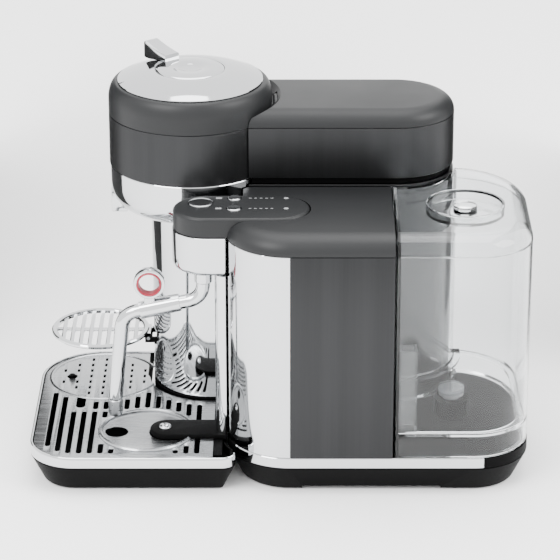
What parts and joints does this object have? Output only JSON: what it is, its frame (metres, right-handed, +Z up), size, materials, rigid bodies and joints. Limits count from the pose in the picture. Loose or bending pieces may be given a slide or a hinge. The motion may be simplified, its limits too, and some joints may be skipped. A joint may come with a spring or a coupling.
{
  "type": "pod coffee machine",
  "caption": "Pod coffee machine with a round brew head on an arm, a steam wand, a slide-out drip tray and a lift-off clear water tank.",
  "frame": {"origin": "centre of the machine's box, on the surface it stands on", "axes": "+Z up, +Y from the drip tray to the water tank, +X from the brew side to the steam wand side"},
  "size_m": [0.244, 0.427, 0.3365],
  "materials": {
    "chrome": "polished",
    "steel": "brushed",
    "brushed_dark": "vertically brushed, dark smoked finish",
    "satin_dark": "satin dark grey",
    "black_plastic": "satin moulded",
    "rubber": "matt",
    "clear_plastic": "clear moulded",
    "red_silicone": "satin",
    "circuit_board": "satin",
    "copper": "satin",
    "grey_plastic": "matt"
  },
  "bodies": {
    "housing": {"base_trim": "chrome", "front_wrap_panel": "chrome", "steam_nose_housing": "chrome", "steam_post_cover": "chrome", "brew_column_front": "chrome", "head_bowl": "chrome", "coffee_spout": "chrome", "jug_sensor_spring": "steel", "head_hinge_pin": "steel", "cup_support_pin": "steel", "brew_heater": "steel", "side_panel": "brushed_dark", "brew_column_shell": "brushed_dark", "arm_shell": "brushed_dark", "roof_cover": "satin_dark", "control_panel": "satin_dark", "arm_cap": "satin_dark", "base_pan": "black_plastic", "base_deck": "black_plastic", "jug_sensor_arm": "black_plastic", "block_rear_wall": "black_plastic", "arm_gasket": "black_plastic", "capsule_deck": "black_plastic", "tank_socket": "black_plastic", "cup_support_bracket": "black_plastic", "foot_front": "rubber", "foot_rear": "rubber", "cord_gland": "rubber", "spin_belt": "rubber", "control_board": "circuit_board", "steam_heater": "copper", "spin_motor": "grey_plastic", "water_pump": "grey_plastic"},
    "drip_tray": {"drip_tray_tub": "black_plastic", "drip_tray_band": "chrome"},
    "tray_grid": {"drip_tray_grid": "steel"},
    "tray_float": {"tray_level_float": "red_silicone"},
    "jug_sensor": {"jug_sensor_button": "chrome"},
    "start_key": {"start_button": "chrome"},
    "milk_key": {"milk_button": "chrome"},
    "cup_size_key": {"cup_size_button": "chrome"},
    "steam_wand": {"steam_pipe": "chrome", "steam_tip": "steel", "wand_lift_tab": "chrome", "wand_ring_grip": "red_silicone"},
    "brew_head": {"head_ring": "brushed_dark", "head_cap": "satin_dark", "head_dome": "chrome", "piercing_plate": "black_plastic", "piercing_head": "steel"},
    "lock_lever": {"lock_lever": "chrome"},
    "capsule_cup": {"capsule_holder": "steel", "holder_pulley": "black_plastic"},
    "motor_shaft": {"motor_pulley": "black_plastic"},
    "capsule_drawer": {"capsule_drawer": "black_plastic"},
    "water_tank": {"water_tank": "clear_plastic", "tank_valve": "grey_plastic"},
    "tank_lid": {"tank_lid": "clear_plastic"},
    "cup_support": {"cup_support": "chrome"}
  },
  "joints": [
    {"name": "tray_slide", "type": "slide", "parent": "housing", "child": "drip_tray", "axis": [0, -1, 0], "range_m": [0, 0.16]},
    {"name": "grid_lift", "type": "slide", "parent": "drip_tray", "child": "tray_grid", "axis": [0, 0, 1], "range_m": [0, 0.005]},
    {"name": "float_rise", "type": "slide", "parent": "drip_tray", "child": "tray_float", "axis": [0, 0, 1], "range_m": [0, 0.006]},
    {"name": "jug_sensor_press", "type": "slide", "parent": "housing", "child": "jug_sensor", "axis": [0, 0, -1], "range_m": [0, 0.0015], "stiffness_N_per_m": 300, "springref_m": -0.001, "deforming": ["jug_sensor_spring"]},
    {"name": "start_press", "type": "slide", "parent": "housing", "child": "start_key", "axis": [0, 0, -1], "range_m": [0, 0.001], "stiffness_N_per_m": 600, "springref_m": -0.001},
    {"name": "milk_press", "type": "slide", "parent": "housing", "child": "milk_key", "axis": [0, 0, -1], "range_m": [0, 0.001], "stiffness_N_per_m": 600, "springref_m": -0.001},
    {"name": "cup_size_press", "type": "slide", "parent": "housing", "child": "cup_size_key", "axis": [0, 0, -1], "range_m": [0, 0.001], "stiffness_N_per_m": 600, "springref_m": -0.001},
    {"name": "wand_lift", "type": "hinge", "parent": "housing", "child": "steam_wand", "pos_m": [0.0525, -0.064, 0.186], "axis": [-1, 0, 0], "range_deg": [0, 30]},
    {"name": "head_open", "type": "hinge", "parent": "housing", "child": "brew_head", "pos_m": [-0.051, -0.002, 0.2936], "axis": [-1, 0, 0], "range_deg": [0, 55]},
    {"name": "lever_turn", "type": "hinge", "parent": "brew_head", "child": "lock_lever", "pos_m": [-0.051, -0.0765, 0.32], "axis": [0, 0, -1], "range_deg": [0, 60]},
    {"name": "capsule_spin", "type": "hinge", "parent": "housing", "child": "capsule_cup", "pos_m": [-0.051, -0.0765, 0.22], "axis": [0, 0, 1], "continuous": true},
    {"name": "motor_spin", "type": "hinge", "parent": "housing", "child": "motor_shaft", "pos_m": [-0.051, 0.026, 0.2], "axis": [0, 0, 1], "continuous": true},
    {"name": "capsule_drawer_slide", "type": "slide", "parent": "housing", "child": "capsule_drawer", "axis": [-1, 0, 0], "range_m": [0, 0.085]},
    {"name": "tank_lift", "type": "slide", "parent": "housing", "child": "water_tank", "axis": [0, 0, 1], "range_m": [0, 0.12]},
    {"name": "lid_lift", "type": "slide", "parent": "water_tank", "child": "tank_lid", "axis": [0, 0, 1], "range_m": [0, 0.04]},
    {"name": "cup_support_fold", "type": "hinge", "parent": "housing", "child": "cup_support", "pos_m": [-0.051, -0.1165, 0.0746], "axis": [-1, 0, 0], "range_deg": [0, 75]}
  ],
  "couplings": [
    {"joint": "motor_spin", "follows": "capsule_spin", "ratio": 1.6}
  ]
}
